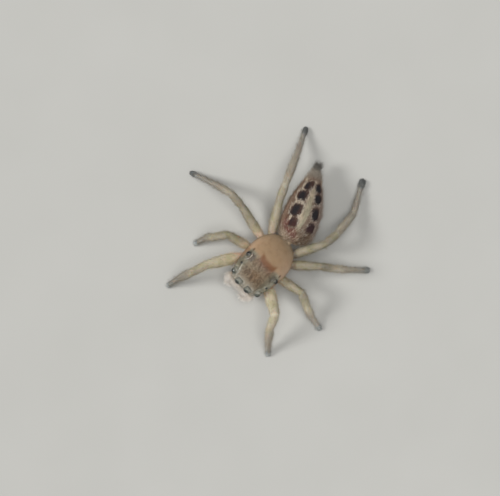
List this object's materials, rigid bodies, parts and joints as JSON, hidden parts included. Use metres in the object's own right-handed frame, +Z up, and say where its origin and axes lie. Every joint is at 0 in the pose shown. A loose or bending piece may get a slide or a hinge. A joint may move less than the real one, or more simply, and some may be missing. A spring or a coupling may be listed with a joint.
{
  "type": "jumping spider",
  "caption": "Life-size still model of a pale jumping spider standing on spread legs, with large front eyes, a tan carapace and a long abdomen with two rows of dark spots.",
  "frame": {"origin": "on the floor, under the middle of the whole animal with its legs", "axes": "+Z up, -Y the way the head faces, +X the spider's own left"},
  "size_m": [0.013, 0.0136, 0.0031],
  "materials": {
    "carapace_coat": "smooth tan-brown cuticle with short pale and dark hairs",
    "abdomen_coat": "dense short hairs, cream band, dark spots in two rows",
    "leg_coat": "pale yellow-green cuticle with fine hairs",
    "foot_coat": "pinkish grey cuticle ending in dark hair tufts",
    "mouthpart_coat": "pale cuticle with cream hairs",
    "eye_lens": "glossy dark lens",
    "dark_horn": "hard dark brown cuticle"
  },
  "bodies": {
    "root": {"cephalothorax": "carapace_coat", "pedicel": "carapace_coat", "abdomen": "abdomen_coat", "spinnerets": "dark_horn", "sternum": "leg_coat", "eye_front_middle_left": "eye_lens", "eye_front_side_left": "eye_lens", "eye_rear_middle_left": "eye_lens", "eye_rear_side_left": "eye_lens", "chelicera_left": "mouthpart_coat", "fang_left": "dark_horn", "palp_left": "mouthpart_coat", "coxa_left_1": "leg_coat", "femur_left_1": "leg_coat", "patella_left_1": "leg_coat", "tibia_left_1": "leg_coat", "foot_left_1": "foot_coat", "coxa_left_2": "leg_coat", "femur_left_2": "leg_coat", "patella_left_2": "leg_coat", "tibia_left_2": "leg_coat", "foot_left_2": "foot_coat", "coxa_left_3": "leg_coat", "femur_left_3": "leg_coat", "patella_left_3": "leg_coat", "tibia_left_3": "leg_coat", "foot_left_3": "foot_coat", "coxa_left_4": "leg_coat", "femur_left_4": "leg_coat", "patella_left_4": "leg_coat", "tibia_left_4": "leg_coat", "foot_left_4": "foot_coat", "eye_front_middle_right": "eye_lens", "eye_front_side_right": "eye_lens", "eye_rear_middle_right": "eye_lens", "eye_rear_side_right": "eye_lens", "chelicera_right": "mouthpart_coat", "fang_right": "dark_horn", "palp_right": "mouthpart_coat", "coxa_right_1": "leg_coat", "femur_right_1": "leg_coat", "patella_right_1": "leg_coat", "tibia_right_1": "leg_coat", "foot_right_1": "foot_coat", "coxa_right_2": "leg_coat", "femur_right_2": "leg_coat", "patella_right_2": "leg_coat", "tibia_right_2": "leg_coat", "foot_right_2": "foot_coat", "coxa_right_3": "leg_coat", "femur_right_3": "leg_coat", "patella_right_3": "leg_coat", "tibia_right_3": "leg_coat", "foot_right_3": "foot_coat", "coxa_right_4": "leg_coat", "femur_right_4": "leg_coat", "patella_right_4": "leg_coat", "tibia_right_4": "leg_coat", "foot_right_4": "foot_coat"}
  },
  "joints": []
}
